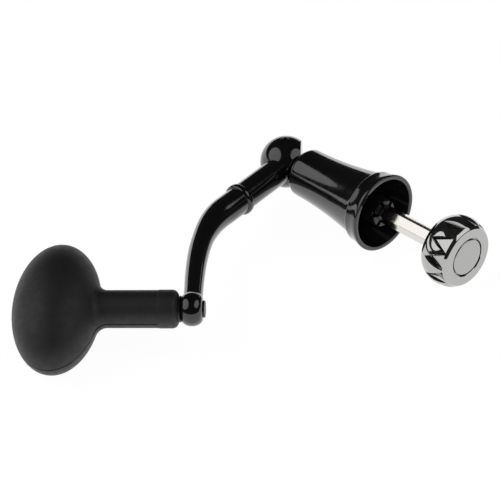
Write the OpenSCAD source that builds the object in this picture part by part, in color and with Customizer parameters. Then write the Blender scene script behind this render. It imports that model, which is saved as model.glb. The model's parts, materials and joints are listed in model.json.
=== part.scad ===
// Folding crank handle for a spinning reel: a hex drive rod with a screw cap,
// a spring-loaded bell skirt that locks the folding knuckle, a bent arm and a
// turning T knob.
// Frame: origin at the centre of the skirt's open rim, +X out along the rod
// towards the cap, +Z along the hinge pin, and the arm on the -Y side.

/* [Detail] */
// Facets round a full turn
facets = 64; // [32:4:96]

/* [Drive rod] */
// Across flats of the hexagonal drive
rod_af = 5; // [4:0.1:6]
// Turn of the hexagon about the rod
rod_turn = 46; // [0:1:60]
// Outer end of the rod beyond the skirt's rim
rod_end = 24; // [15:0.5:40]
// Thickness of the flat tongue in the knuckle's slot
tongue_t = 3; // [2:0.1:4]
// Radius of the eye round the hinge pin
eye_r = 3.6; // [3:0.1:4]

/* [Hinge] */
// Distance of the hinge pin behind the skirt's rim
hinge_x = 43.1; // [38:0.1:48]
// How far the arm is folded from its locked pose, in degrees
fold = 44.3; // [0:0.1:66]
// Radius of the ball-shaped knuckle
knuckle_r = 8.15; // [7:0.05:9]
// Distance of the knuckle's locking flat from the pin
lock_flat = 4.9; // [4:0.1:6]
// Distance of the knuckle's lead-in bevel from the pin
lead_flat = 6.4; // [5:0.1:8]
// Turn of the lead-in bevel from the locking flat
lead_turn = -24; // [-35:1:-10]
// Radius of the hinge pin
pin_r = 1.25; // [1:0.05:2]

/* [Skirt] */
// Length of the skirt
skirt_len = 34.7; // [30:0.1:40]
// Radius at the closed end
skirt_r_end = 7.68; // [6:0.01:8]
// Rounding of the closed end
skirt_round = 1.9; // [0.5:0.1:3]
// Radius of the cone where it meets the rim band
skirt_r_cone = 10.6; // [8:0.1:11]
// Length of the flared rim band
band_len = 5.3; // [4:0.1:10]
// Radius of the band at its back edge
band_r = 11.35; // [9:0.05:12]
// Radius of the open rim
rim_r = 12.1; // [10:0.1:14]
// Wall thickness
skirt_wall = 1.4; // [1:0.1:2]
// Outer radius of the guide sleeve
sleeve_r = 4.2; // [3.6:0.1:5]

/* [Arm] */
// Radius of the arm at the knuckle
arm_r_top = 4.3; // [3.5:0.1:5]
// Radius of the arm in the middle of its bend
arm_r_mid = 3.25; // [2.5:0.1:4]
// Radius of the arm at the knob's boss
arm_r_end = 2.75; // [2:0.05:4]
// Offset of the arm's straight length from the pin
arm_offset = 1.3; // [0:0.1:2]
// Direction of the arm's straight length in the locked pose
arm_dir = 237; // [225:0.5:255]
// Length of the straight length from the pin's level
arm_straight = 34.1; // [20:0.1:40]
// Length over which most of the bend is made
bend_ease = 14; // [8:0.5:40]
// Length of the bent part
bend_len = 41.5; // [30:1:50]
// Direction that the bend settles to
arm_dir_end = 275.4; // [260:0.5:280]
// Distance of the raised ring along the straight length
ring_at = 26; // [20:0.1:35]
// Radius of the raised ring
ring_r = 5; // [4.4:0.1:6]
// Width of the raised ring
ring_w = 2.4; // [1.8:0.1:4]
// Rounding of the ring's edges
ring_round = 0.85; // [0.75:0.05:0.9]

/* [Knob] */
// Distance of the knob's axis from the pin, along the locked -Y
knob_y = 78.3; // [60:0.1:100]
// Outer face of the boss from the pin, along the locked -X
boss_x0 = 18.6; // [15:0.1:25]
// Length of the boss
boss_len = 6.2; // [4:0.1:9]
// Radius of the boss
boss_r = 4.85; // [4:0.05:7]
// Radius of the spindle
spindle_r = 1.75; // [1.5:0.05:2.5]
// Gap between the boss and the knob's collar
knob_gap = 0.6; // [0.4:0.1:1.5]
// Length of the knob's end collar
collar_len = 5.6; // [3:0.1:8]
// Radius of the knob's end collar
collar_r = 5.4; // [5:0.1:8]
// Radius of the knob's neck
neck_r = 5.3; // [5:0.1:8]
// Length of the neck, from the collar to the grip
neck_len = 16.2; // [8:0.1:20]
// Half length of the grip along the spindle, and half its thickness
grip_b = 12.4; // [10:0.1:16]
// Half width of the grip across the spindle
grip_a = 20.8; // [16:0.1:28]
// Turn of the knob about its spindle
knob_turn = 17.5; // [-180:1:180]

/* [Cap] */
// Back edge of the cap from the rim
cap_x0 = 23.6; // [18:0.1:30]
// Length of the cap
cap_len = 10.2; // [6:0.1:14]
// Largest radius, at the middle of its barrel
cap_r_mid = 10.65; // [7:0.1:11]
// Radius of the barrel's curve along the axis
cap_barrel = 8.7; // [8:0.1:30]
// Radius at the front face
cap_r_front = 9.1; // [6:0.1:10]
// Radius of the round groove in the front face
cap_groove_r = 5.7; // [4:0.1:7]
// Number of triangular dimples round the side
dimples = 11; // [8:1:16]
// Depth of the dimples below the barrel's largest radius
dimple_depth = 1.7; // [0.3:0.05:2]
// Radius of the stud's thread
stud_r = 1.5; // [1.2:0.05:2]
// Length of thread in the rod
stud_hold = 8.3; // [6:0.1:10]

/* [Hidden] */
$fn = facets;
fit = 0.05;                                  // radial running fit
gap = 0.3;                                   // clearance between moving faces
rod_r = rod_af / sqrt(3);                    // circumscribed radius of the hexagon
tongue_w = 2.3;                              // half width of the tongue
neck_end = 8.5;                              // pin to the start of the hexagon
slot_h = tongue_t / 2 + gap;                 // half height of the knuckle's slot
slot_turn = 66.5;                            // angle the tongue sweeps in the slot
skirt_x0 = -skirt_len;
wall_end = skirt_x0 + 3;                     // inner face of the closed end
bell_len = skirt_len - skirt_round - band_len - 0.15;
web_x0 = -16;                                // web that carries the guide sleeve
web_t = 3;
mouth_r = 9.2;                               // radius of the mouth where it starts to narrow
mouth_x = -6.8;
clip_x = -22.2;                              // groove of the stop clip
clip_t = 0.6;
washer_t = 0.6;
spring_x0 = wall_end;
spring_len = clip_x - washer_t - spring_x0;
spring_r = 4;
wire_r = 0.35;
spring_turns = 4.5;
// knob stations, measured along the locked -X from the pin
collar_x0 = boss_x0 + boss_len + knob_gap;
neck_x0 = collar_x0 + collar_len;
grip_x0 = neck_x0 + neck_len;
grip_xc = grip_x0 + grip_b;
core_r = 3.95;
core_x0 = collar_x0 + 2.3;
core_x1 = grip_xc + 8.6;
bush_r = 3;
bush_len = 5;
inner_bush_x0 = grip_xc - 1;
retainer_x = inner_bush_x0 + bush_len + 0.4;
spindle_x1 = retainer_x + 2;
// cap stations
cap_x1 = cap_x0 + cap_len;
cap_web = rod_end + 1.6;                     // floor inside the cap's back recess
disc_x0 = cap_x1 - 1.3;                      // back face of the cap's disc
// arm path
arm_start = [arm_offset, 0];
bend_from = arm_start + arm_straight * [cos(arm_dir), sin(arm_dir)];
bend_steps = 11;
ease_share = 0.4;                            // share of the bend at which the middle radius is met
knob_eye = [-boss_x0 - boss_len / 2, -knob_y];

// points of an arc about c, from angle a0 to a1
function arc(c, r, a0, a1, n = 8) =
    [for (i = [0:n]) let (a = a0 + (a1 - a0) * i / n) c + r * [cos(a), sin(a)]];
// the bell's radius a share t of the way from its end corner to the band
function bell_r(t) = skirt_r_end + (skirt_r_cone - skirt_r_end) * pow(t, 1.85);
// length run along the bend, and the arm's direction there
function bend_run(i) = bend_len * pow(i / bend_steps, 1.35);
function bend_dir(s) = arm_dir + (arm_dir_end - arm_dir) * (1 - exp(-s / bend_ease));
// a point on the bend's centreline
function bend(i) = i == 0 ? bend_from :
    let (s0 = bend_run(i - 1), s1 = bend_run(i), a = bend_dir((s0 + s1) / 2))
    bend(i - 1) + (s1 - s0) * [cos(a), sin(a)];
// the arm's radius there: quick to its middle size, then slow to the boss
function bend_radius(i) = let (t = bend_run(i) / bend_len)
    t < ease_share ? arm_r_top + (arm_r_mid - arm_r_top) * t / ease_share
                   : arm_r_mid + (arm_r_end - arm_r_mid) * (t - ease_share) / (1 - ease_share);
// the boss's rounded outline, from its outer face to its inner one
function boss_crown() =
    [for (i = [0:12]) [boss_r - 2.25 + 2.25 * sin(15 * i), boss_len * (1 - cos(15 * i)) / 2]];

// turns a profile of [radius, station] points about the X axis
module turned(points) rotate([0, 90, 0]) rotate_extrude() polygon(points);
// a cylinder along X from station a to b
module rod(a, b, r) translate([a, 0, 0]) rotate([0, 90, 0]) cylinder(h = b - a, r = r);
// a ring along X
module ring(a, b, r_out, r_in) difference() {
    rod(a, b, r_out);
    rod(a - 1, b + 1, r_in);
}
// the drive's hexagon from station a to b, enlarged by c
module hex_bar(a, b, c = 0) translate([a, 0, 0]) rotate([90 - rod_turn, 0, 0]) rotate([0, 90, 0])
    rotate([0, 0, 30]) cylinder(h = b - a, r = rod_r + c * 2 / sqrt(3), $fn = 6);
// places the arm's locked frame in the row
module locked() translate([-hinge_x, 0, 0]) rotate([0, 0, fold]) children();
// the spindle's frame, with +X outwards along it, and the knob's, turned about it
module spindle_frame() locked() translate([0, -knob_y, 0]) mirror([1, 0, 0]) children();
module knob_frame() spindle_frame() rotate([knob_turn, 0, 0]) children();
// a round bar through points of the arm's plane, with a radius at each
module bar(path, radii, sides = 32) {
    last = len(path) - 1;
    function left(i) = let (d = path[min(i + 1, last)] - path[max(i - 1, 0)]) [-d[1], d[0]] / norm(d);
    function at(i, k) = let (a = 360 * (k + 0.5) / sides) [
        path[i][0] + radii[i] * cos(a) * left(i)[0],
        path[i][1] + radii[i] * cos(a) * left(i)[1],
        radii[i] * sin(a)];
    function id(i, k) = i * sides + k % sides;
    polyhedron(
        points = [for (i = [0:last], k = [0:sides - 1]) at(i, k)],
        faces = concat(
            [[for (k = [0:sides - 1]) id(0, k)], [for (k = [sides - 1:-1:0]) id(last, k)]],
            [for (i = [0:last - 1], k = [0:sides - 1]) [id(i, k), id(i + 1, k + 1), id(i, k + 1)]],
            [for (i = [0:last - 1], k = [0:sides - 1]) [id(i, k), id(i + 1, k), id(i + 1, k + 1)]]));
}

module drive_rod() color("#dedad3") difference() {
    union() {
        hex_bar(-hinge_x + neck_end, rod_end);
        translate([-hinge_x, 0, 0]) cylinder(h = tongue_t, r = eye_r, center = true);
        translate([-hinge_x, -tongue_w, -tongue_t / 2]) cube([neck_end + 1, 2 * tongue_w, tongue_t]);
    }
    translate([-hinge_x, 0, 0]) cylinder(h = 20, r = pin_r + fit, center = true);
    rod(rod_end - stud_hold - 3, rod_end + 1, stud_r + fit);
    ring(clip_x, clip_x + clip_t, rod_r + 1, 2.2);
}

module hinge_pin() color("#b9b9b6") translate([-hinge_x, 0, 0])
    cylinder(h = 2 * knuckle_r - 0.9, r = pin_r, center = true);

module knuckle_slot() {
    linear_extrude(2 * slot_h, center = true) {
        circle(r = eye_r + 0.4);
        for (a = [0, -slot_turn])
            rotate(a) translate([0, -tongue_w - gap]) square([20, 2 * (tongue_w + gap)]);
        polygon(concat([[0, 0]], arc([0, 0], 20, 0, -slot_turn, 6)));
    }
}

module crank_arm() color("#141414") locked() difference() {
    union() {
        difference() {
            sphere(r = knuckle_r);
            translate([lock_flat, -20, -20]) cube(40);
            rotate([0, 0, lead_turn]) translate([lead_flat, -20, -20]) cube(40);
        }
        bar(concat([arm_start + 2 * [cos(arm_dir), sin(arm_dir)]],
                   [for (i = [0:bend_steps]) bend(i)], [knob_eye]),
            concat([arm_r_top], [for (i = [0:bend_steps]) bend_radius(i)], [arm_r_end]));
        translate([arm_start[0], arm_start[1], 0]) rotate([0, 0, arm_dir])
            turned(concat([[0, ring_at - ring_w / 2]],
                          arc([ring_r - ring_round, ring_at - ring_w / 2 + ring_round], ring_round, -90, 0, 5),
                          arc([ring_r - ring_round, ring_at + ring_w / 2 - ring_round], ring_round, 0, 90, 5),
                          [[0, ring_at + ring_w / 2]]));
        translate([-boss_x0, -knob_y, 0]) mirror([1, 0, 0])
            turned(concat([[0, 0]], boss_crown(), [[0, boss_len]]));
    }
    knuckle_slot();
    cylinder(h = 40, r = pin_r, center = true);
    translate([0, -knob_y, 0]) rod(-60, 0, spindle_r);
}

module skirt_shell() color("#121212") difference() {
    turned(concat(
        [[3.1, skirt_x0]],
        arc([skirt_r_end - skirt_round, skirt_x0 + skirt_round], skirt_round, -90, -2, 7),
        [for (i = [1:12]) [bell_r(i / 12), skirt_x0 + skirt_round + bell_len * i / 12]],
        [[skirt_r_cone + 0.12, -band_len], [band_r - 0.25, -band_len], [band_r, -band_len + 0.25]],
        [[band_r + 0.05, -4], [band_r + 0.18, -3], [band_r + 0.42, -2], [rim_r - 0.06, -1]],
        [[rim_r, -0.35], [rim_r - 0.35, 0], [rim_r - skirt_wall + 0.3, 0], [rim_r - skirt_wall, -0.3],
         [mouth_r, mouth_x], [mouth_r - 1.4, mouth_x - 3],
         [mouth_r - 1.9, web_x0 + web_t], [sleeve_r, web_x0 + web_t], [sleeve_r, web_x0],
         [mouth_r - 2.2, web_x0], [skirt_r_end - skirt_wall - 0.38, wall_end], [3.1, wall_end]]));
}

module guide_sleeve() color("#1b1b1c") difference() {
    turned([[0, web_x0 - 1.5], [sleeve_r - 0.4, web_x0 - 1.5], [sleeve_r, web_x0 - 1.1],
            [sleeve_r, -0.3], [sleeve_r - 0.4, 0.1], [0, 0.1]]);
    hex_bar(web_x0 - 3, 4, 0.08);
}

// half the angle that one coil's section takes up in a plane across the spring
coil_spread = wire_r / (spring_len / spring_turns) * 360;
// a point on the edge of that section, at share t of its half length
function coil_edge(t, r) = (spring_r + r * sqrt(1.02 - t * t)) * [cos(t * coil_spread), sin(t * coil_spread)];

module return_spring() color("#a9a9a6") translate([spring_x0, 0, 0]) rotate([0, 90, 0])
    linear_extrude(spring_len, twist = 360 * spring_turns, slices = round(14 * spring_turns))
        polygon(concat(
            [for (i = [-4:4]) coil_edge(i / 4, wire_r)],
            [for (i = [4:-1:-4]) coil_edge(i / 4, -wire_r)]));

module stop_washer() color("#b4b4b0") difference() {
    rod(clip_x - washer_t, clip_x, 5.2);
    hex_bar(clip_x - 3, clip_x + 3, 0.05);
}

module stop_clip() color("#3a3a3c") difference() {
    rod(clip_x, clip_x + clip_t, 4.4);
    rod(clip_x - 1, clip_x + 2, 2.2);
    translate([clip_x - 1, -1.9, 0]) cube([3, 3.8, 6]);
}

module grip_body() {
    translate([grip_xc, 0, 0]) rotate([-90, 0, 0]) rotate_extrude()
        polygon([for (i = [-15:15]) [i * i == 225 ? 0 : grip_b * cos(i * 6), grip_a * sin(i * 6)]]);
    turned(concat([[0, neck_x0]], [[neck_r, neck_x0]],
        arc([neck_r + 3.5, grip_x0 - 1.8], 3.5, 180, 130, 5),
        [[neck_r + 2.7, grip_x0 + 2.9], [0, grip_x0 + 2.9]]));
}

module knob_half(side) difference() {
    intersection() {
        grip_body();
        translate([0, -40, side > 0 ? 0 : -40]) cube([100, 80, 40]);
    }
    rod(neck_x0 - 1, core_x1 + 0.1, core_r);
}

module knob_upper_half() color("#1f1f20") knob_frame() knob_half(1);
module knob_lower_half() color("#1f1f20") knob_frame() knob_half(-1);

module knob_core() color("#2a2a2c") knob_frame() difference() {
    rod(core_x0, core_x1, core_r);
    rod(core_x0 - 1, core_x1 + 1, 2.3);
    rod(core_x0 - 1, core_x0 + bush_len + 0.3, bush_r);
    rod(inner_bush_x0, core_x1 + 1, bush_r);
}

module knob_end_collar() color("#202021") knob_frame() difference() {
    turned(concat([[0, collar_x0]], arc([collar_r - 1.8, collar_x0 + 1.8], 1.8, -90, 0, 6),
                  [[collar_r, neck_x0 - 0.15], [collar_r - 0.15, neck_x0], [0, neck_x0]]));
    rod(collar_x0 - 1, neck_x0 + 1, 2.3);
    rod(core_x0, neck_x0 + 1, core_r);
}

module bush(x) color("#c9a45a") knob_frame() ring(x, x + bush_len, bush_r, spindle_r + fit);
module knob_outer_bush() bush(core_x0);
module knob_inner_bush() bush(inner_bush_x0);

module knob_spindle() color("#2b2b2c") spindle_frame() difference() {
    union() {
        turned([[0, boss_x0 - 0.6], [2.1, boss_x0 - 0.6], [2.4, boss_x0 - 0.3], [2.4, boss_x0],
                [0, boss_x0]]);
        rod(boss_x0 - 0.3, spindle_x1, spindle_r);
    }
    ring(retainer_x, retainer_x + clip_t, 3, 1.35);
}

module spindle_retainer() color("#8e8e8c") spindle_frame() difference() {
    rod(retainer_x, retainer_x + clip_t, 2.6);
    rod(retainer_x - 1, retainer_x + 2, 1.35);
    translate([retainer_x - 1, -1.15, 0]) cube([3, 2.3, 6]);
}

module knob_thrust_washer() color("#0c0c0c") spindle_frame()
    ring(boss_x0 + boss_len, boss_x0 + boss_len + knob_gap - 0.1, 3.7, spindle_r);

// the slope-sided cutter of one dimple: a triangle with its apex to the back
module dimple() {
    xa = cap_x0 + 2.9;
    xb = cap_x1 - 0.8;
    w = cap_r_mid * tan(180 / dimples) - 0.4;
    b = atan(w / (xb - xa));
    lo = cap_r_mid - dimple_depth;
    // the triangle moved in by d, at height h
    function half(d) = w - d * (1 + sin(b)) / cos(b);
    function tri(d, h) = [[xa + d / sin(b), h, 0], [xb - d, h, half(d)], [xb - d, h, -half(d)]];
    polyhedron(points = concat(tri(0.3, lo), tri(-0.5, lo + 2.2)),
               faces = [[0, 1, 2], [3, 5, 4], [0, 3, 4, 1], [1, 4, 5, 2], [2, 5, 3, 0]]);
}

module cap_shell() color("#c4c4c2") difference() {
    turned(concat([[0, cap_x0], [cap_r_front - 0.35, cap_x0], [cap_r_front + 0.05, cap_x0 + 0.3]],
                  arc([cap_r_mid - cap_barrel, cap_x0 + cap_len / 2], cap_barrel, -31, 29, 10),
                  arc([cap_r_front - 0.7, cap_x1 - 0.7], 0.7, 30, 90, 4), [[0, cap_x1]]));
    for (i = [0:dimples - 1]) rotate([135 + i * 360 / dimples, 0, 0]) dimple();
    rod(cap_x0 - 1, cap_web, 3.6);
    rod(cap_x0 - 1, cap_x0 + 0.9, 7.1);
    rod(disc_x0, cap_x1 + 1, cap_groove_r + 0.15);
    rod(cap_web - 1, cap_x1 + 1, stud_r);
}

module cap_disc() color("#b5b5b3")
    turned([[0, disc_x0], [cap_groove_r - 0.15, disc_x0], [cap_groove_r - 0.15, cap_x1 - 0.25],
            [cap_groove_r - 0.4, cap_x1 - 0.05], [0, cap_x1 - 0.05]]);

module cap_stud() color("#a8a8a5") turned([[0, rod_end - stud_hold], [stud_r - 0.3, rod_end - stud_hold],
    [stud_r, rod_end - stud_hold + 0.3], [stud_r, disc_x0], [0, disc_x0]]);

module cap_washer() color("#19191a") ring(cap_x0 - 0.2, cap_x0 + 0.6, 6.8, 3.3);

drive_rod();
hinge_pin();
crank_arm();
skirt_shell();
guide_sleeve();
return_spring();
stop_washer();
stop_clip();
knob_upper_half();
knob_lower_half();
knob_core();
knob_end_collar();
knob_outer_bush();
knob_inner_bush();
knob_spindle();
spindle_retainer();
knob_thrust_washer();
cap_shell();
cap_disc();
cap_stud();
cap_washer();
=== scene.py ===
"""Folding crank handle: drive rod in a bell skirt, ball knuckle, bent arm, T knob and chrome cap.
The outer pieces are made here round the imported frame, and every piece gets its finish."""
import json
import math

import bpy
import bmesh
from mathutils import Matrix, Vector

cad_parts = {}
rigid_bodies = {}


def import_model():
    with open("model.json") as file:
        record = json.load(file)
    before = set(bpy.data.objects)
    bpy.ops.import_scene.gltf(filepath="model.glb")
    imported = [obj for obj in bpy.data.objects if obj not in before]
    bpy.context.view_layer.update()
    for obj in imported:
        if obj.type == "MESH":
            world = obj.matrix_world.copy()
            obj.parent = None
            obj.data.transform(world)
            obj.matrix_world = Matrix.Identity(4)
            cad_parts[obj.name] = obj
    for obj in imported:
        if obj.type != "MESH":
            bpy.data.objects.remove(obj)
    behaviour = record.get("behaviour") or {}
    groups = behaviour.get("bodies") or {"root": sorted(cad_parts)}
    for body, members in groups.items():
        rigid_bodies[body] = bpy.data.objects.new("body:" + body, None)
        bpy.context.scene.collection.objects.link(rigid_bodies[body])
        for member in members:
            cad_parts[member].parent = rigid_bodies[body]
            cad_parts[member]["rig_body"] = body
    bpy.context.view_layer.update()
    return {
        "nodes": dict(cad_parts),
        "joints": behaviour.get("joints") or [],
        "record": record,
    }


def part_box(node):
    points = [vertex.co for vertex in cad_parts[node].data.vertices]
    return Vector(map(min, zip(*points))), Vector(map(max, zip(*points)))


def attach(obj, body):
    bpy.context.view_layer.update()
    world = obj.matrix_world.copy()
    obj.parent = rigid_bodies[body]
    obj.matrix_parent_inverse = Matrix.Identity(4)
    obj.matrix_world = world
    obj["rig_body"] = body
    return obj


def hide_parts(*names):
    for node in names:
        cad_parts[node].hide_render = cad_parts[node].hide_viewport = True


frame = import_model()

MM = 0.001
NODES = frame["nodes"]
JOINTS = {j["name"]: j for j in frame["joints"]}

# Sizes in millimetres, most of them the CAD's own.
ROD_FLATS = 5.0
ROD_TURN = 46.0
ROD_EDGE = 0.35
ROD_START = 8.5
ROD_END = 24.0
TONGUE_T = 3.0
TONGUE_W = 2.3
EYE_R = 3.6
PIN_R = 1.25
KNUCKLE_R = 8.15
LOCK_FLAT = 4.9
LEAD_FLAT = 6.4
LEAD_TURN = -24.0
SLOT_H = 1.8
SLOT_SWEEP = 66.5
SKIRT_LEN = 34.7
SKIRT_R_END = 7.68
SKIRT_ROUND = 1.9
SKIRT_R_BELL = 10.6
SKIRT_BORE = 3.1
SKIRT_WALL = 3.0
BAND_LEN = 5.3
BAND_R = 11.35
BAND_ROUND = 0.4
RIM_R = 12.1
RIM_LIP = 0.4
RIM_INNER_R = 10.7
RIM_INNER_LIP = 0.35
WEB_BACK = -16.0
WEB_FRONT = -13.0
WEB_BORE = 4.2
SLEEVE_R = 4.2
SLEEVE_BACK = -17.5
SLEEVE_FRONT = 0.1
SLEEVE_SLOT = 1.3
ARM_R = (4.3, 3.25, 2.75)
ARM_OFFSET = 1.3
ARM_DIR = 237.0
ARM_DIR_END = 275.4
ARM_STRAIGHT = 34.1
BEND_EASE = 14.0
BEND_LEN = 41.5
EASE_SHARE = 0.4
RING_AT = 26.0
RING_R = 5.0
RING_W = 2.4
KNOB_Y = 78.3
BOSS_X = 18.6
BOSS_LEN = 6.2
BOSS_R = 4.85
BOSS_CROWN = 2.25
SPINDLE_R = 1.75
SPINDLE_HEAD = 0.6
SPINDLE_HEAD_R = 2.4
SPINDLE_GROOVE_R = 1.35
COLLAR_X = 25.4
COLLAR_LEN = 5.6
COLLAR_R = 5.4
COLLAR_ROUND = 1.8
COLLAR_SEAM_ROUND = 0.28
COLLAR_WALL = 2.3
COLLAR_BORE = 2.3
NECK_R = 5.3
NECK_LEN = 16.2
GRIP_A = 20.8
GRIP_B = 12.4
KNOB_TURN = 17.5
CORE_R = 3.95
CORE_END = 8.7
SEAM = 0.28
KNOB_FILLET = 3.5
CAP_X = 23.6
CAP_LEN = 9.8
CAP_R = 10.65
CAP_BARREL = 7.5
CAP_BACK_ROUND = 0.5
CAP_FACE_ROUND = 0.7
CAP_BORE = 7.1
CAP_GROOVE_R = 5.7
CAP_GROOVE_HALF = 0.2
CAP_GROOVE_DEPTH = 1.3
CAP_STUD_HOLE = 1.5
CAP_WASHER_SEAT = 3.6
DIMPLES = 11
DIMPLE_DEPTH = 1.7
DIMPLE_LAND = 0.4
DIMPLE_BACK = 2.9
DIMPLE_FRONT = 0.8
DIMPLE_TURN = 135.0
SPRING_R = 4.0
SPRING_WIRE_R = 0.35
SPRING_TURNS = 4.5
SPRING_GAP = 0.08

NECK_X = COLLAR_X + COLLAR_LEN
GRIP_X0 = NECK_X + NECK_LEN
GRIP_XC = GRIP_X0 + GRIP_B
CAP_FACE_X = CAP_X + CAP_LEN

# Frames of the moving parts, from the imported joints.
PIN = Vector(JOINTS["arm_fold"]["pos_m"]) / MM
FOLD = math.radians(-JOINTS["arm_fold"]["range_deg"][0])
LOCKED = Matrix.Translation(PIN) @ Matrix.Rotation(FOLD, 4, "Z")
SPINDLE = LOCKED @ Matrix.Translation((0, -KNOB_Y, 0)) @ Matrix.Rotation(math.pi, 4, "Z")
KNOB = SPINDLE @ Matrix.Rotation(math.radians(-KNOB_TURN), 4, "X")


# ---------------------------------------------------------------- finishes

def colour(hex_code):
    """An sRGB hex value as linear RGBA."""
    parts = [int(hex_code[i:i + 2], 16) / 255 for i in (1, 3, 5)]
    return [c / 12.92 if c <= 0.04045 else ((c + 0.055) / 1.055) ** 2.4 for c in parts] + [1.0]


def add(tree, kind, settings=None, links=None):
    """Adds a node, sets its properties and input values, and links inputs from other nodes' outputs."""
    node = tree.nodes.new(kind)
    for name, value in (settings or {}).items():
        if isinstance(name, str) and hasattr(node, name):
            setattr(node, name, value)
        else:
            node.inputs[name].default_value = value
    for name, source in (links or {}).items():
        tree.links.new(source, node.inputs[name])
    return node


def finish(name, base, **sockets):
    """A Principled material; returns the material, its tree and its shader."""
    material = bpy.data.materials.new(name)
    material.use_nodes = True
    tree = material.node_tree
    shader = tree.nodes["Principled BSDF"]
    shader.inputs["Base Color"].default_value = colour(base)
    for socket, value in sockets.items():
        shader.inputs[socket.replace("_", " ")].default_value = value
    return material, tree, shader


def object_point(tree, stretch=(1, 1, 1)):
    """Object coordinates in millimetres, stretched along an axis for drawn or turned marks."""
    place = add(tree, "ShaderNodeTexCoord")
    scale = [s / MM for s in stretch]
    return add(tree, "ShaderNodeMapping", {"Scale": scale}, {"Vector": place.outputs["Object"]}).outputs[0]


def speckle(tree, point, per_mm, detail=3.0, rough=0.5):
    """Noise with that many spots in a millimetre."""
    return add(tree, "ShaderNodeTexNoise", {"Scale": per_mm, "Detail": detail, "Roughness": rough},
               {"Vector": point}).outputs["Fac"]


def spread(tree, value, low, high, start=0.3, end=0.7):
    """Maps a 0..1 pattern to a range of roughness or height."""
    limits = {"From Min": start, "From Max": end, "To Min": low, "To Max": high}
    return add(tree, "ShaderNodeMapRange", limits, {"Value": value}).outputs[0]


def emboss(tree, shader, height, depth_mm, strength=1.0):
    """Bump of that depth in millimetres."""
    bump = add(tree, "ShaderNodeBump", {"Strength": strength, "Distance": depth_mm * MM}, {"Height": height})
    tree.links.new(bump.outputs[0], shader.inputs["Normal"])


def vary_roughness(tree, shader, pattern, low, high):
    """Roughness that drifts with a pattern, so that the shine is never quite even."""
    tree.links.new(spread(tree, pattern, low, high), shader.inputs["Roughness"])


def tint(tree, shader, pattern, dark, light):
    """Base colour that drifts between two near tones."""
    ramp = add(tree, "ShaderNodeValToRGB", None, {"Fac": pattern})
    ramp.color_ramp.elements[0].color = colour(dark)
    ramp.color_ramp.elements[1].color = colour(light)
    tree.links.new(ramp.outputs[0], shader.inputs["Base Color"])


def gloss_enamel(name, base, rough, peel):
    """Sprayed and baked gloss enamel on cast metal: near black, with a clear wet shine and a faint
    orange peel about two millimetres across."""
    material, tree, shader = finish(name, base, Roughness=rough, IOR=1.5)
    shader.inputs["Coat Weight"].default_value = 0.6
    shader.inputs["Coat Roughness"].default_value = 0.03
    point = object_point(tree)
    tint(tree, shader, speckle(tree, point, 0.15), base, "#161617")
    vary_roughness(tree, shader, speckle(tree, point, 0.4), rough * 0.7, rough * 1.5)
    emboss(tree, shader, speckle(tree, point, 0.55, 1.0), peel)
    return material


def polished_steel(name, base, rough, grain):
    """Drawn, ground or polished steel: bright, with fine marks that run the way it was worked."""
    material, tree, shader = finish(name, base, Metallic=1.0, Roughness=rough)
    point = object_point(tree, grain)
    marks = speckle(tree, point, 6.0, 4.0, 0.6)
    vary_roughness(tree, shader, marks, rough * 0.7, rough * 1.6)
    emboss(tree, shader, marks, 0.002)
    return material


def bright_chrome():
    """Nickel-chrome plate on a die-cast cap: a mirror with a slow waviness about three millimetres across."""
    material, tree, shader = finish("bright_chrome_plate", "#B4B4B2", Metallic=1.0, Roughness=0.06)
    point = object_point(tree)
    vary_roughness(tree, shader, speckle(tree, point, 0.8), 0.04, 0.1)
    emboss(tree, shader, speckle(tree, point, 0.35, 1.0), 0.004)
    return material


def turned_chrome():
    """The cap's flat disc, plated over lathe turning: rings so fine that they only soften the shine."""
    material, tree, shader = finish("turned_chrome_plate", "#AFAFAD", Metallic=1.0, Roughness=0.14)
    point = object_point(tree)
    apart = add(tree, "ShaderNodeSeparateXYZ", None, {"Vector": point})
    flat = add(tree, "ShaderNodeCombineXYZ", None, {"X": apart.outputs["Y"], "Y": apart.outputs["Z"]})
    radius = add(tree, "ShaderNodeVectorMath", {"operation": "LENGTH"}, {0: flat.outputs[0]})
    # Rings 0.25 mm apart: real turning is finer, but would not show.
    ring = add(tree, "ShaderNodeMath", {"operation": "MULTIPLY", 1: 2 * math.pi / 0.25},
               {0: radius.outputs["Value"]})
    wave = add(tree, "ShaderNodeMath", {"operation": "SINE"}, {0: ring.outputs[0]})
    tree.links.new(spread(tree, wave.outputs[0], 0.11, 0.17, -1, 1), shader.inputs["Roughness"])
    emboss(tree, shader, wave.outputs[0], 0.001)
    return material


def soft_touch():
    """Moulded grip with a rubbery soft-touch lacquer: matte charcoal, a pale sheen at the edges and a
    skin-like grain of about a third of a millimetre."""
    material, tree, shader = finish("soft_touch_lacquer", "#1B1B1C", Roughness=0.56, IOR=1.5)
    shader.inputs["Sheen Weight"].default_value = 0.22
    shader.inputs["Sheen Roughness"].default_value = 0.35
    shader.inputs["Sheen Tint"].default_value = colour("#C8C8CC")
    point = object_point(tree)
    tint(tree, shader, speckle(tree, point, 0.12), "#181819", "#1F1F20")
    vary_roughness(tree, shader, speckle(tree, point, 0.5), 0.5, 0.64)
    emboss(tree, shader, speckle(tree, point, 3.0, 4.0, 0.6), 0.03, 0.35)
    return material


def moulded_plastic(name, base, rough):
    """Injection-moulded nylon or ABS: satin, with the faint cloudiness of a spark-eroded mould."""
    material, tree, shader = finish(name, base, Roughness=rough, IOR=1.52)
    point = object_point(tree)
    vary_roughness(tree, shader, speckle(tree, point, 1.2), rough * 0.8, rough * 1.25)
    emboss(tree, shader, speckle(tree, point, 4.0), 0.01, 0.4)
    return material


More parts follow.
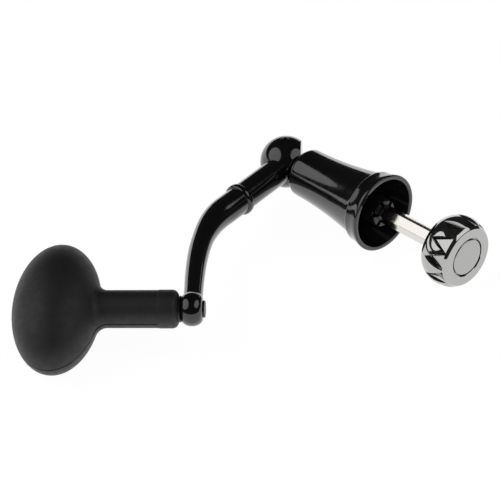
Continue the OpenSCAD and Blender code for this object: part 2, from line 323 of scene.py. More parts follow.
def sintered_bronze():
    """Oil-filled sintered bronze: warm, dull and finely pored."""
    material, tree, shader = finish("sintered_bronze", "#B08A4E", Metallic=1.0, Roughness=0.42)
    point = object_point(tree)
    pores = speckle(tree, point, 7.0, 2.0)
    tint(tree, shader, pores, "#8A6A38", "#C39A5B")
    emboss(tree, shader, pores, 0.02, 0.5)
    return material


FINISH = {
    "rod_steel": polished_steel("polished_stainless_bar", "#DEDBD6", 0.1, (0.05, 1, 1)),
    "gloss_black": gloss_enamel("baked_gloss_enamel", "#0B0B0C", 0.1, 0.012),
    "skirt_black": gloss_enamel("baked_gloss_enamel_skirt", "#0C0C0D", 0.12, 0.01),
    "sleeve_black": moulded_plastic("black_moulded_nylon", "#141415", 0.3),
    "spring_steel": polished_steel("drawn_spring_wire", "#A9A8A4", 0.24, (1, 1, 1)),
    "clip_steel": polished_steel("blackened_spring_steel", "#3B3B3E", 0.3, (1, 1, 1)),
    "pin_steel": polished_steel("ground_steel_pin", "#B4B3AF", 0.2, (1, 1, 0.1)),
    "grip_black": soft_touch(),
    "core_plastic": moulded_plastic("grey_moulded_abs", "#3A3A3D", 0.4),
    "bush_bronze": sintered_bronze(),
    "chrome": bright_chrome(),
    "chrome_disc": turned_chrome(),
    "washer_black": moulded_plastic("black_nylon_washer", "#0D0D0E", 0.4),
}


# ---------------------------------------------------------------- mesh tools

def arc(x, r, radius, a0, a1, n=8):
    """Points of an arc in a lathe profile, as (station, radius)."""
    angles = [math.radians(a0 + (a1 - a0) * i / n) for i in range(n + 1)]
    return [(x + radius * math.cos(a), r + radius * math.sin(a)) for a in angles]


def put(name, data):
    """A new object in the scene."""
    obj = bpy.data.objects.new(name, data)
    bpy.context.scene.collection.objects.link(obj)
    return obj


def closed(name, mesh):
    """A new object whose doubled points are merged and whose faces all turn outward."""
    work = bmesh.new()
    work.from_mesh(mesh)
    bmesh.ops.remove_doubles(work, verts=work.verts, dist=1e-7)
    bmesh.ops.recalc_face_normals(work, faces=work.faces)
    work.to_mesh(mesh)
    work.free()
    return put(name, mesh)


def solid(name, verts, faces, place=Matrix.Identity(4)):
    """A closed mesh object from points in millimetres."""
    mesh = bpy.data.meshes.new(name)
    mesh.from_pydata([(place @ Vector(v)) * MM for v in verts], [], faces)
    return closed(name, mesh)


def grid_faces(rows, sides, close_rows=False):
    """Quads between rows of points, each row a ring."""
    last = rows if close_rows else rows - 1
    return [(i * sides + k, i * sides + (k + 1) % sides,
             (i + 1) % rows * sides + (k + 1) % sides, (i + 1) % rows * sides + k)
            for i in range(last) for k in range(sides)]


def lathe(name, profile, place=Matrix.Identity(4), sides=128, ring=False):
    """Turns a profile of (station, radius) about X; a ring's profile closes on itself."""
    verts = [(x, r * math.cos(2 * math.pi * k / sides), r * math.sin(2 * math.pi * k / sides))
             for x, r in profile for k in range(sides)]
    faces = grid_faces(len(profile), sides, ring)
    if not ring:
        faces += [tuple(range(sides)), tuple(range((len(profile) - 1) * sides, len(profile) * sides))]
    return solid(name, verts, faces, place)


def block(name, low, high, place=Matrix.Identity(4)):
    """A plain box, for cutting."""
    verts = [(x, y, z) for x in (low[0], high[0]) for y in (low[1], high[1]) for z in (low[2], high[2])]
    faces = [(0, 1, 3, 2), (4, 5, 7, 6), (0, 1, 5, 4), (2, 3, 7, 6), (0, 2, 6, 4), (1, 3, 7, 5)]
    return solid(name, verts, faces, place)


def prism(name, outline, low, high, place=Matrix.Identity(4)):
    """An outline in X and Y, raised from low to high along Z."""
    n = len(outline)
    verts = [(x, y, low) for x, y in outline] + [(x, y, high) for x, y in outline]
    faces = grid_faces(2, n) + [tuple(range(n)), tuple(range(n, 2 * n))]
    return solid(name, verts, faces, place)


def plain(obj):
    """Turns an object's evaluated modifiers into a plain mesh."""
    graph = bpy.context.evaluated_depsgraph_get()
    mesh = bpy.data.meshes.new_from_object(obj.evaluated_get(graph))
    obj.modifiers.clear()
    obj.data = mesh


def combine(target, others, how):
    """Joins or cuts target by the others, and removes them."""
    for other in others:
        step = target.modifiers.new("step", "BOOLEAN")
        step.operation = how
        step.solver = "EXACT"
        step.object = other
        plain(target)
        bpy.data.objects.remove(other)


def smooth(obj, degrees):
    """Smooth faces, with edges kept sharp past an angle."""
    obj.data.polygons.foreach_set("use_smooth", [True] * len(obj.data.polygons))
    obj.data.set_sharp_from_angle(angle=math.radians(degrees))


def soften(obj, width, degrees, steps):
    """Rounds the edges past an angle by a width in millimetres."""
    rounding = obj.modifiers.new("rounding", "BEVEL")
    rounding.width = width * MM
    rounding.segments = steps
    rounding.limit_method = "ANGLE"
    rounding.angle_limit = math.radians(degrees)
    rounding.use_clamp_overlap = True
    plain(obj)


def stand_for(obj, node, material=None, degrees=32):
    """Gives a new piece its finish and its body, and lets it stand for a CAD node."""
    slot = next(s["material_slot"] for s in frame["record"]["subparts"] if s["node"] == node)
    obj.data.materials.clear()
    obj.data.materials.append(FINISH[material or slot])
    smooth(obj, degrees)
    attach(obj, NODES[node]["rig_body"])
    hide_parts(node)


# ---------------------------------------------------------------- drive rod and skirt

def hexagon(flats, edge, steps=3):
    """A hexagon across Y and Z with rounded corners."""
    reach = flats / math.sqrt(3) - edge * (2 / math.sqrt(3) - 1)
    points = []
    for corner in range(6):
        middle = 60 * corner + 30 + ROD_TURN
        cx = (reach - edge) * math.cos(math.radians(middle))
        cy = (reach - edge) * math.sin(math.radians(middle))
        for i in range(steps + 1):
            a = math.radians(middle - 30 + 60 * i / steps)
            points.append((cx + edge * math.cos(a), cy + edge * math.sin(a)))
    return points


def hex_bar(name, stations, sizes, edge):
    """A rounded hexagonal bar along X, with a size across flats at each station."""
    verts = []
    for x, flats in zip(stations, sizes):
        verts += [(x, -y, z) for y, z in hexagon(flats, edge)]
    n = len(verts) // len(stations)
    faces = grid_faces(len(stations), n)
    faces += [tuple(range(n)), tuple(range(len(verts) - n, len(verts)))]
    return solid(name, verts, faces)


def make_drive_rod():
    """Hexagonal bar with chamfered ends, a flat tongue with an eye for the pin, and the stud's bore."""
    start = PIN.x + ROD_START
    rod = hex_bar("drive_rod_bar", [start, start + 0.3, ROD_END - 0.35, ROD_END],
                  [ROD_FLATS - 0.6, ROD_FLATS, ROD_FLATS, ROD_FLATS - 0.7], ROD_EDGE)
    eye = lathe("eye", [(-TONGUE_T / 2, EYE_R - 0.25), (-TONGUE_T / 2 + 0.25, EYE_R),
                        (TONGUE_T / 2 - 0.25, EYE_R), (TONGUE_T / 2, EYE_R - 0.25)],
                Matrix.Translation(PIN) @ Matrix.Rotation(-math.pi / 2, 4, "Y"), 64)
    tongue = block("tongue", (PIN.x, -TONGUE_W, -TONGUE_T / 2), (start + 1, TONGUE_W, TONGUE_T / 2))
    combine(rod, [tongue, eye], "UNION")
    bore = lathe("bore", [(-9, PIN_R + 0.05), (9, PIN_R + 0.05)],
                 Matrix.Translation(PIN) @ Matrix.Rotation(-math.pi / 2, 4, "Y"), 48)
    stud_bore = lathe("stud_bore", [(ROD_END - 11.3, 1.55), (ROD_END + 1, 1.55)], sides=48)
    combine(rod, [bore, stud_bore], "DIFFERENCE")
    stand_for(rod, "drive_rod", degrees=20)


def make_skirt():
    """The bell: closed end, swelling body, flared rim band with a rounded back edge, and the web inside."""
    x0 = -SKIRT_LEN
    profile = [(x0, SKIRT_BORE)]
    profile += arc(x0 + SKIRT_ROUND, SKIRT_R_END - SKIRT_ROUND, SKIRT_ROUND, 180, 92, 12)
    start = x0 + SKIRT_ROUND
    bell_len = -BAND_LEN - 0.15 - start
    steps = 24
    swell = SKIRT_R_BELL - SKIRT_R_END
    profile += [(start + bell_len * i / steps, SKIRT_R_END + swell * (i / steps) ** 1.85)
                for i in range(1, steps + 1)]
    profile += [(-BAND_LEN - 0.04, SKIRT_R_BELL + 0.06), (-BAND_LEN, SKIRT_R_BELL + 0.16),
                (-BAND_LEN, BAND_R - BAND_ROUND - 0.02)]
    profile += arc(-BAND_LEN + BAND_ROUND, BAND_R - BAND_ROUND, BAND_ROUND, 176, 92, 9)
    flare = [(-4.4, 0.02), (-4, 0.05), (-3.5, 0.1), (-3, 0.18), (-2.5, 0.29), (-2, 0.42), (-1.5, 0.56),
             (-1, 0.68)]
    profile += [(x, BAND_R + out) for x, out in flare]
    profile += arc(-RIM_LIP, RIM_R - RIM_LIP, RIM_LIP, 88, 0, 6)
    profile += arc(-RIM_INNER_LIP, RIM_INNER_R + RIM_INNER_LIP, RIM_INNER_LIP, 0, -80, 5)
    profile += [(-6.8, 9.2), (-9.8, 7.8), (WEB_FRONT, 7.3), (WEB_FRONT, WEB_BORE), (WEB_BACK, WEB_BORE),
                (WEB_BACK, 7.0), (x0 + SKIRT_WALL, 5.9), (x0 + SKIRT_WALL, SKIRT_BORE)]
    stand_for(lathe("bell_skirt", profile, sides=160, ring=True), "skirt_shell")


def make_sleeve():
    """Guide sleeve with a rounded nose, a hexagonal bore, and three slots across its end that leave teeth."""
    profile = [(SLEEVE_BACK, SLEEVE_R - 0.4), (SLEEVE_BACK + 0.4, SLEEVE_R)]
    profile += arc(SLEEVE_FRONT - 0.5, SLEEVE_R - 0.5, 0.5, 90, 0, 6)
    sleeve = lathe("hex_guide_sleeve", profile, sides=96)
    bore = hex_bar("bore", [SLEEVE_BACK - 1.5, 2], [ROD_FLATS + 0.16] * 2, ROD_EDGE)
    slots = [block("slot", (-SLEEVE_SLOT, -6, -SLEEVE_SLOT / 2), (2, 6, SLEEVE_SLOT / 2),
                   Matrix.Rotation(math.radians(210 - ROD_TURN + 60 * i), 4, "X")) for i in range(3)]
    combine(sleeve, [bore] + slots, "DIFFERENCE")
    stand_for(sleeve, "guide_sleeve", degrees=25)


# ---------------------------------------------------------------- arm

def bend_heading(run):
    """Direction of the bar at a distance along its bend."""
    return math.radians(ARM_DIR + (ARM_DIR_END - ARM_DIR) * (1 - math.exp(-run / BEND_EASE)))


def arm_path(step=1.0):
    """Centreline points with radii: straight from the knuckle, then the easing bend, then the boss."""
    start = Vector((ARM_OFFSET, 0))
    along = Vector((math.cos(math.radians(ARM_DIR)), math.sin(math.radians(ARM_DIR))))
    path = [(start + along * s, ARM_R[0]) for s in (2, 12, 22, 28, 31)]
    point = start + along * ARM_STRAIGHT
    count = round(BEND_LEN / step)
    for i in range(count + 1):
        run = BEND_LEN * i / count
        share = run / BEND_LEN
        ease = min(share / EASE_SHARE, 1)
        ease = ease * ease * (3 - 2 * ease) * 0.5 + ease * 0.5
        radius = ARM_R[0] + (ARM_R[1] - ARM_R[0]) * ease
        if share > EASE_SHARE:
            radius = ARM_R[1] + (ARM_R[2] - ARM_R[1]) * (share - EASE_SHARE) / (1 - EASE_SHARE)
        path.append((point.copy(), radius))
        heading = bend_heading(run + BEND_LEN / count / 2)
        point += BEND_LEN / count * Vector((math.cos(heading), math.sin(heading)))
    path.append((Vector((-BOSS_X - BOSS_LEN / 2, -KNOB_Y)), ARM_R[2]))
    return path


def node_group(name, sockets):
    """An empty geometry tree with named inputs; returns it with its input and output nodes."""
    group = bpy.data.node_groups.new(name, "GeometryNodeTree")
    for socket, kind, value in sockets:
        made = group.interface.new_socket(socket, in_out="INPUT", socket_type=kind)
        if value is not None:
            made.default_value = value
    group.interface.new_socket("Geometry", in_out="OUTPUT", socket_type="NodeSocketGeometry")
    return group, group.nodes.new("NodeGroupInput"), group.nodes.new("NodeGroupOutput")


def run_tree(obj, group, values):
    """Puts a geometry tree on an object, with its named inputs."""
    modifier = obj.modifiers.new(group.name, "NODES")
    modifier.node_group = group
    names = {item.name: item.identifier for item in group.interface.items_tree if item.in_out == "INPUT"}
    for name, value in values.items():
        modifier[names[name]] = value


def tube_tree():
    """A round bar along the curve it is given; the curve's own radius multiplies the bar's."""
    group, source, result = node_group("swept_bar", [
        ("Geometry", "NodeSocketGeometry", None), ("Radius", "NodeSocketFloat", MM),
        ("Sides", "NodeSocketInt", 48), ("Material", "NodeSocketMaterial", None)])
    outline = add(group, "GeometryNodeCurvePrimitiveCircle", None,
                  {"Radius": source.outputs["Radius"], "Resolution": source.outputs["Sides"]})
    width = add(group, "GeometryNodeInputRadius")
    sweep = add(group, "GeometryNodeCurveToMesh", {"Fill Caps": True},
                {"Curve": source.outputs["Geometry"], "Profile Curve": outline.outputs["Curve"],
                 "Scale": width.outputs[0]})
    whole = add(group, "GeometryNodeRealizeInstances", None, {"Geometry": sweep.outputs["Mesh"]})
    dress = add(group, "GeometryNodeSetMaterial", None,
                {"Geometry": whole.outputs[0], "Material": source.outputs["Material"]})
    group.links.new(dress.outputs[0], result.inputs["Geometry"])
    return group


TUBE = tube_tree()


def swept(name, points, place, material, sides=48):
    """A round bar through points with radii, in millimetres."""
    curve = bpy.data.curves.new(name, "CURVE")
    curve.dimensions = "3D"
    spline = curve.splines.new("POLY")
    spline.points.add(len(points) - 1)
    for target, (at, radius) in zip(spline.points, points):
        target.co = (*((place @ Vector((*at, 0, 0)[:3])) * MM), 1)
        target.radius = radius
    holder = put(name + "_path", curve)
    run_tree(holder, TUBE, {"Radius": MM, "Sides": sides, "Material": material})
    graph = bpy.context.evaluated_depsgraph_get()
    mesh = bpy.data.meshes.new_from_object(holder.evaluated_get(graph))
    bpy.data.objects.remove(holder)
    return closed(name, mesh)


def make_arm():
    """Knuckle, bar, ring and boss: one casting, with the slot for the rod's tongue."""
    flat_edge = math.degrees(math.acos((LOCK_FLAT + 0.2) / KNUCKLE_R))
    profile = arc(0, 0, KNUCKLE_R, 180, flat_edge + 4, 64)[1:]
    profile += arc(LOCK_FLAT - 0.35, profile[-1][1] - 0.27, 0.35, 45, 0, 4)
    arm = lathe("crank_arm_casting", [(-KNUCKLE_R, 0.05)] + profile, LOCKED, 144)
    far = 20
    lead = block("lead", (LEAD_FLAT, -far, -far), (far * 2, far, far),
                 LOCKED @ Matrix.Rotation(math.radians(LEAD_TURN), 4, "Z"))
    combine(arm, [lead], "DIFFERENCE")
    bar = swept("bar", arm_path(), LOCKED, FINISH["gloss_black"])
    along = LOCKED @ Matrix.Translation((ARM_OFFSET, 0, 0)) @ Matrix.Rotation(math.radians(ARM_DIR), 4, "Z")
    rounding = 0.9
    ring = lathe("ring", [(RING_AT - RING_W / 2, 2)]
                 + arc(RING_AT - RING_W / 2 + rounding, RING_R - rounding, rounding, 180, 90, 8)
                 + arc(RING_AT + RING_W / 2 - rounding, RING_R - rounding, rounding, 90, 0, 8)
                 + [(RING_AT + RING_W / 2, 2)], along, 96)
    crown = [math.pi * i / 32 for i in range(33)]
    boss = lathe("boss", [(BOSS_X + BOSS_LEN * (1 - math.cos(a)) / 2, BOSS_R - BOSS_CROWN * (1 - math.sin(a)))
                          for a in crown], SPINDLE, 96)
    combine(arm, [bar, ring, boss], "UNION")
    sweep = math.radians(SLOT_SWEEP)
    half = TONGUE_W + 0.3
    clear = EYE_R + 0.4
    hub = [(clear * math.cos(a), clear * math.sin(a))
           for a in [math.radians(40 + i * 10) for i in range(18)]]
    turned = Vector((math.cos(-sweep), math.sin(-sweep)))
    side = Vector((turned.y, -turned.x)) * half
    reach = turned * far + side
    edge_x = math.sqrt(clear ** 2 - half ** 2)
    near = turned * edge_x + side
    outline = [(far, half), (edge_x, half)] + hub[1:] + [tuple(near), tuple(reach)]
    outline += [(far * math.cos(a), far * math.sin(a)) for a in [-sweep * (1 - i / 6) for i in range(6)]]
    slot = prism("slot", outline, -SLOT_H, SLOT_H, LOCKED)
    upright = LOCKED @ Matrix.Rotation(-math.pi / 2, 4, "Y")
    mouth = KNUCKLE_R - 0.15
    pin_bore = lathe("pin_bore", [(-12, 4), (-mouth - 0.2, PIN_R + 0.4), (-mouth + 0.2, PIN_R),
                                  (mouth - 0.2, PIN_R), (mouth + 0.2, PIN_R + 0.4), (12, 4)], upright, 48)
    spindle_bore = lathe("spindle_bore", [(BOSS_X - 3, SPINDLE_R), (BOSS_X + 12, SPINDLE_R)], SPINDLE, 48)
    combine(arm, [slot, pin_bore, spindle_bore], "DIFFERENCE")
    stand_for(arm, "crank_arm", degrees=28)


def make_spindle():
    """Knob spindle: a flat head with rounded edges, riveted against the boss, and a grooved shank."""
    tail = GRIP_XC + 4.4
    edge = SPINDLE_HEAD / 2
    profile = [(BOSS_X - SPINDLE_HEAD, 1.9)]
    profile += arc(BOSS_X - edge, SPINDLE_HEAD_R - edge, edge, 180, 90, 6)[1:]
    profile += [(BOSS_X, SPINDLE_HEAD_R), (BOSS_X, SPINDLE_R), (tail, SPINDLE_R), (tail, SPINDLE_GROOVE_R),
                (tail + 0.6, SPINDLE_GROOVE_R), (tail + 0.6, SPINDLE_R), (tail + 1.7, SPINDLE_R),
                (tail + 2, 1.45)]
    stand_for(lathe("knob_spindle_rivet", profile, SPINDLE, 64), "knob_spindle")


def make_pin():
    """Hinge pin with chamfered, slightly crowned ends."""
    half = KNUCKLE_R - 0.45
    pin = lathe("hinge_pin_rivet", [(-half, 0.7), (-half + 0.12, 1.05), (-half + 0.3, PIN_R),
                                    (half - 0.3, PIN_R), (half - 0.12, 1.05), (half, 0.7)],
                Matrix.Translation(PIN) @ Matrix.Rotation(-math.pi / 2, 4, "Y"), 48)
    stand_for(pin, "hinge_pin", "gloss_black")


# ---------------------------------------------------------------- knob

def knob_meridian(turn):
    """The knob's outline at an angle round its spindle: neck, fillet and grip, as (station, radius)."""
    wide = GRIP_A * GRIP_B / math.hypot(GRIP_B * math.cos(turn), GRIP_A * math.sin(turn))
    rise = NECK_R + KNOB_FILLET
    grid = [math.pi / 2 * i / 300 for i in range(301)]
    egg = [(GRIP_XC - GRIP_B * math.cos(a), wide * math.sin(a), a) for a in grid]
    near, far = GRIP_X0 - KNOB_FILLET, GRIP_XC
    for _ in range(30):
        centre = (near + far) / 2
        gap, touch = min((math.hypot(x - centre, r - rise), a) for x, r, a in egg)
        near, far = (centre, far) if gap > KNOB_FILLET else (near, centre)
    end = math.atan2(wide * math.sin(touch) - rise, GRIP_XC - GRIP_B * math.cos(touch) - centre)
    line = [(NECK_X + (centre - NECK_X) * i / 6, NECK_R) for i in range(6)]
    for i in range(13):
        a = -math.pi / 2 + (end + math.pi / 2) * i / 12
        line.append((centre + KNOB_FILLET * math.cos(a), rise + KNOB_FILLET * math.sin(a)))
    for i in range(1, 64):
        a = touch + (math.pi - touch) * i / 64
        line.append((GRIP_XC - GRIP_B * math.cos(a), wide * math.sin(a)))
    return line


def seam_cutter():
    """A thin wedge along the knob's outline, for the V groove at the parting line, deeper at the fillet."""
    outline = [(NECK_X - 1, NECK_R)] + knob_meridian(0)[1:]
    outline += [(GRIP_XC + GRIP_B, 0)] + [(x, -y) for x, y in reversed(outline)]
    verts = []
    for i, at in enumerate(outline):
        before = Vector(outline[max(i - 1, 0)])
        after = Vector(outline[min(i + 1, len(outline) - 1)])
        along = (after - before).normalized()
        out = Vector((-along.y, along.x))
        size = SEAM * (1 + 0.9 * math.exp(-((at[0] - GRIP_X0 - 0.6) / 0.7) ** 2))
        base = Vector(at)
        for push, lift in ((1, 0), (0, 0.8), (-1, 0), (0, -0.8)):
            point = base + out * push * size
            verts.append((point.x, point.y, lift * size))
    rows = len(outline)
    faces = grid_faces(rows, 4) + [(0, 1, 2, 3), tuple(range(4 * rows - 4, 4 * rows))]
    return solid("seam_cutter", verts, faces, KNOB)


def make_knob():
    """The T knob: two shells that meet on the plane of the grip's width, hollow for the core tube."""
    sides = 128
    turns = [2 * math.pi * k / sides for k in range(sides)]
    lines = [knob_meridian(a) for a in turns]
    rows = len(lines[0])
    verts = [(line[i][0], line[i][1] * math.cos(a), line[i][1] * math.sin(a))
             for i in range(rows) for line, a in zip(lines, turns)]
    tip = len(verts)
    verts.append((GRIP_XC + GRIP_B, 0, 0))
    faces = grid_faces(rows, sides) + [tuple(range(sides))]
    faces += [((rows - 1) * sides + k, (rows - 1) * sides + (k + 1) % sides, tip) for k in range(sides)]
    whole = solid("grip", verts, faces, KNOB)
    core = lathe("core_space", [(NECK_X - 1, CORE_R), (GRIP_XC + CORE_END, CORE_R)], KNOB, 64)
    combine(whole, [seam_cutter(), core], "DIFFERENCE")
    up = KNOB.to_3x3() @ Vector((0, 0, 1))
    for node, name, side in (("knob_upper_half", "grip_upper_shell", 1),
                             ("knob_lower_half", "grip_lower_shell", -1)):
        half = put(name, whole.data.copy())
        work = bmesh.new()
        work.from_mesh(half.data)
        cut = bmesh.ops.bisect_plane(work, geom=work.verts[:] + work.edges[:] + work.faces[:], dist=1e-8,
                                     plane_co=KNOB.translation * MM, plane_no=up * side, clear_inner=True)
        rim = [e for e in cut["geom_cut"] if isinstance(e, bmesh.types.BMEdge)]
        bmesh.ops.holes_fill(work, edges=rim, sides=0)
        bmesh.ops.recalc_face_normals(work, faces=work.faces)
        work.to_mesh(half.data)
        work.free()
        stand_for(half, node, degrees=38)
    bpy.data.objects.remove(whole)


def make_collar():
    """End collar of the neck: a rounded front edge, and a fine rounding at the seam with the neck."""
    x0 = COLLAR_X
    x1 = NECK_X
    profile = [(x0, COLLAR_BORE)]
    profile += arc(x0 + COLLAR_ROUND, COLLAR_R - COLLAR_ROUND, COLLAR_ROUND, 180, 91, 14)
    profile += [(x1 - COLLAR_SEAM_ROUND - 0.02, COLLAR_R)]
    profile += arc(x1 - COLLAR_SEAM_ROUND, COLLAR_R - COLLAR_SEAM_ROUND, COLLAR_SEAM_ROUND, 80, 0, 4)
    profile += [(x1, CORE_R), (x0 + COLLAR_WALL, CORE_R), (x0 + COLLAR_WALL, COLLAR_BORE)]
    stand_for(lathe("knob_collar", profile, KNOB, 96, ring=True), "knob_end_collar")


# ---------------------------------------------------------------- cap

def dimple_tree(cutter):
    """Sets a cutter a number of times round the X axis, and cuts it from the cap's blank."""
    group, source, result = node_group("dimple_ring", [
        ("Geometry", "NodeSocketGeometry", None), ("Count", "NodeSocketInt", DIMPLES),
        ("First Turn", "NodeSocketFloat", 0.0), ("Material", "NodeSocketMaterial", None)])
    shape = add(group, "GeometryNodeObjectInfo", {"Object": cutter})
    points = add(group, "GeometryNodePoints", None, {"Count": source.outputs["Count"]})
    index = add(group, "GeometryNodeInputIndex")
    step = add(group, "ShaderNodeMath", {"operation": "DIVIDE", 0: 2 * math.pi}, {1: source.outputs["Count"]})
    turn = add(group, "ShaderNodeMath", {"operation": "MULTIPLY_ADD"},
               {0: index.outputs[0], 1: step.outputs[0], 2: source.outputs["First Turn"]})
    spin = add(group, "ShaderNodeCombineXYZ", None, {"X": turn.outputs[0]})
    copies = add(group, "GeometryNodeInstanceOnPoints", None,
                 {"Points": points.outputs[0], "Instance": shape.outputs["Geometry"],
                  "Rotation": spin.outputs[0]})
    whole = add(group, "GeometryNodeRealizeInstances", None, {"Geometry": copies.outputs[0]})
    cut = add(group, "GeometryNodeMeshBoolean", {"operation": "DIFFERENCE", "solver": "EXACT"},
              {"Mesh 1": source.outputs["Geometry"], "Mesh 2": whole.outputs[0]})
    dress = add(group, "GeometryNodeSetMaterial", None,
                {"Geometry": cut.outputs["Mesh"], "Material": source.outputs["Material"]})
    group.links.new(dress.outputs[0], result.inputs["Geometry"])
    return group


def make_cap():
    """Barrel-shaped thumb cap with slope-sided triangular dimples and a groove round its disc."""
    x0 = CAP_X
    x1 = CAP_FACE_X
    middle = (x0 + x1) / 2 - 0.1

    def edge(x, r):
        """Centre radius and joining angle of a corner of radius r that runs smoothly into the barrel."""
        reach = CAP_BARREL - r
        height = CAP_R - CAP_BARREL + math.sqrt(reach ** 2 - (x - middle) ** 2)
        return height, math.degrees(math.acos((x - middle) / reach))

    back_x = x0 + CAP_BACK_ROUND
    face_x = x1 - CAP_FACE_ROUND
    back_r, back_turn = edge(back_x, CAP_BACK_ROUND)
    face_r, face_turn = edge(face_x, CAP_FACE_ROUND)
    profile = [(x0, CAP_BORE)] + arc(back_x, back_r, CAP_BACK_ROUND, 178, back_turn + 3, 6)
    profile += arc(middle, CAP_R - CAP_BARREL, CAP_BARREL, back_turn, face_turn, 36)
    profile += arc(face_x, face_r, CAP_FACE_ROUND, face_turn - 4, 1, 10)
    groove_r = CAP_GROOVE_R + CAP_GROOVE_HALF
    floor_x = x1 - CAP_GROOVE_DEPTH
    stud_x = ROD_END + 1.6
    lip_x = x0 + 0.9
    profile += [(x1, groove_r + 0.15), (x1 - 0.15, groove_r), (floor_x, groove_r), (floor_x, CAP_STUD_HOLE),
                (stud_x, CAP_STUD_HOLE), (stud_x, CAP_WASHER_SEAT), (lip_x, CAP_WASHER_SEAT),
                (lip_x, CAP_BORE)]
    cap = lathe("thumb_cap", profile, sides=176, ring=True)
    back = x0 + DIMPLE_BACK
    front = x1 - DIMPLE_FRONT
    half = CAP_R * math.tan(math.pi / DIMPLES) - DIMPLE_LAND
    lean = math.atan(half / (front - back))
    low = CAP_R - DIMPLE_DEPTH

    def triangle(inset, height):
        """The dimple's outline at a height, drawn in by an inset."""
        side = half - inset * (1 + math.sin(lean)) / math.cos(lean)
        return [(back + inset / math.sin(lean), height, 0), (front - inset, height, side),
                (front - inset, height, -side)]

    cutter = solid("dimple_cutter", triangle(0.3, low) + triangle(-0.5, low + 2.2),
                   grid_faces(2, 3) + [(0, 1, 2), (3, 4, 5)])
    run_tree(cap, dimple_tree(cutter), {"Count": DIMPLES, "First Turn": math.radians(DIMPLE_TURN),
                                        "Material": FINISH["chrome"]})
    plain(cap)
    bpy.data.objects.remove(cutter)
    soften(cap, 0.24, 24, 3)
    stand_for(cap, "cap_shell", degrees=40)


def make_cap_disc():
    """The flat disc in the cap's face, a hair below it, with a rounded edge."""
    r = CAP_GROOVE_R - CAP_GROOVE_HALF
    floor_x = CAP_FACE_X - CAP_GROOVE_DEPTH
    profile = [(floor_x, 1.6), (floor_x, r)] + arc(CAP_FACE_X - 0.35, r - 0.3, 0.3, 90, 0, 6)
    stand_for(lathe("cap_front_disc", profile, sides=128), "cap_disc", "chrome_disc")


# ---------------------------------------------------------------- spring

def make_spring():
    """Return spring: round wire in open coils round the rod, inside the skirt."""
    low, high = (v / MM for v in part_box("return_spring"))
    start = low.x + SPRING_WIRE_R + SPRING_GAP
    length = high.x - SPRING_WIRE_R - SPRING_GAP - start
    steps = round(SPRING_TURNS * 32)
    points = []
    for i in range(steps + 1):
        a = 2 * math.pi * SPRING_TURNS * i / steps
        at = (start + length * i / steps, SPRING_R * math.cos(a), SPRING_R * math.sin(a))
        points.append((at, SPRING_WIRE_R))
    spring = swept("skirt_return_spring", points, Matrix.Identity(4), FINISH["spring_steel"], 12)
    stand_for(spring, "return_spring")


# ---------------------------------------------------------------- studio

VIEW_TURN = 50.57
VIEW_RISE = 33.82
VIEW_ROLL = -3.72
VIEW_AIM = Vector((-22.15, -34.13, -6.82))
VIEW_DISTANCE = 533.4
LENS = 129.6

# Sizes of the studio, in metres.
LIGHT_DISTANCE = 0.8
FLOOR_HALF = 2.5
WALL_REACH = 1.2


def view_axes():
    """The camera's right, up and back directions."""
    turn, rise, roll = (math.radians(v) for v in (VIEW_TURN, VIEW_RISE, VIEW_ROLL))
    back = Vector((math.sin(turn) * math.cos(rise), -math.cos(turn) * math.cos(rise), math.sin(rise)))
    right = Vector((math.cos(turn), math.sin(turn), 0))
    up = back.cross(right)
    return (right * math.cos(roll) + up * math.sin(roll), up * math.cos(roll) - right * math.sin(roll), back)


def make_camera():
    """A long lens, looking down on the object from its rod's end."""
    right, up, back = view_axes()
    camera = put("camera", bpy.data.cameras.new("camera"))
    camera.data.lens = LENS
    camera.data.sensor_width = 36
    camera.data.clip_start = 0.01
    turned = Matrix((right, up, back)).transposed().to_4x4()
    camera.matrix_world = Matrix.Translation((VIEW_AIM + back * VIEW_DISTANCE) * MM) @ turned
    bpy.context.scene.camera = camera


def softbox(name, toward, width, height, radiance):
    """An oval soft light that faces the object; its power follows from how bright its face is."""
    light = bpy.data.lights.new(name, "AREA")
    light.shape = "ELLIPSE"
    light.size = width
    light.size_y = height
    light.energy = radiance * math.pi * width * height * math.pi / 4
    obj = put(name, light)
    toward = toward.normalized()
    obj.location = VIEW_AIM * MM + toward * LIGHT_DISTANCE
    obj.rotation_euler = toward.to_track_quat("Z", "Y").to_euler()


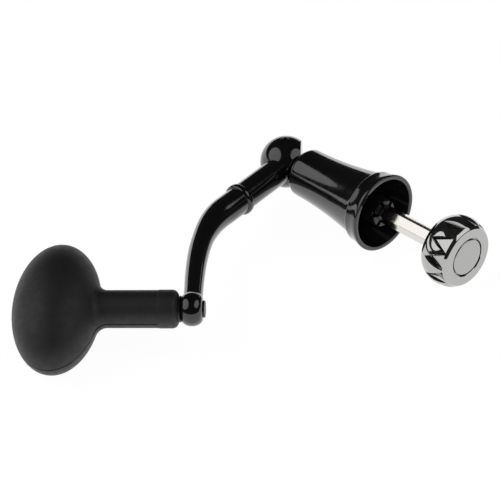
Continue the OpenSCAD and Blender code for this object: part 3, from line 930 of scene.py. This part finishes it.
def lit_sheet(name, verts, faces, glow):
    """A white sheet that glows, off the object."""
    mesh = bpy.data.meshes.new(name)
    mesh.from_pydata(verts, [], faces)
    obj = put(name, mesh)
    lit, _, shader = finish(name + "_white_acrylic", "#5A5A5A", Roughness=0.7)
    shader.inputs["Emission Color"].default_value = colour("#FFFFFF")
    shader.inputs["Emission Strength"].default_value = glow
    mesh.materials.append(lit)


def make_sweep():
    """A pale lit floor, and behind the object a low back-lit wall that gives the gloss its pale rims."""
    low = min(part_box(n)[0].z for n in NODES)
    corners = ((-1, -1), (1, -1), (1, 1), (-1, 1))
    lit_sheet("floor", [(x * FLOOR_HALF, y * FLOOR_HALF, low) for x, y in corners], [(0, 1, 2, 3)], 0.96)
    away = math.radians(VIEW_TURN + 90)
    rise = [(WALL_REACH, low), (WALL_REACH + 0.01, 0.06), (WALL_REACH + 0.02, 0.17)]
    steps = 24
    verts = []
    for i in range(steps + 1):
        turn = away + math.radians(-40 + 135 * i / steps)
        verts += [(r * math.cos(turn), r * math.sin(turn), z) for r, z in rise]
    n = len(rise)
    lit_sheet("low_wall", verts, [(i * n + k, (i + 1) * n + k, (i + 1) * n + k + 1, i * n + k + 1)
                                  for i in range(steps) for k in range(n - 1)], 1.2)


def make_studio():
    """Two softboxes either side of the camera, in a dark room."""
    right, up, back = view_axes()
    softbox("left_softbox", right * -0.78 + up * 0.46 + back * 0.46, 1.05, 0.8, 1.25)
    softbox("right_softbox", right * 0.64 + up * 0.5 + back * 0.59, 0.85, 0.55, 1.2)
    world = bpy.data.worlds.new("studio")
    bpy.context.scene.world = world
    world.use_nodes = True
    world.node_tree.nodes["Background"].inputs["Color"].default_value = colour("#2A2A2C")
    make_sweep()


# ---------------------------------------------------------------- everything

bpy.context.scene.view_settings.view_transform = "Standard"
make_drive_rod()
make_skirt()
make_sleeve()
make_arm()
make_spindle()
make_pin()
make_knob()
make_collar()
make_cap()
make_cap_disc()
make_spring()

# The pieces that keep their CAD shape take their finish here.
for part in frame["record"]["subparts"]:
    NODES[part["node"]].data.materials.clear()
    NODES[part["node"]].data.materials.append(FINISH[part["material_slot"]])

make_camera()
make_studio()
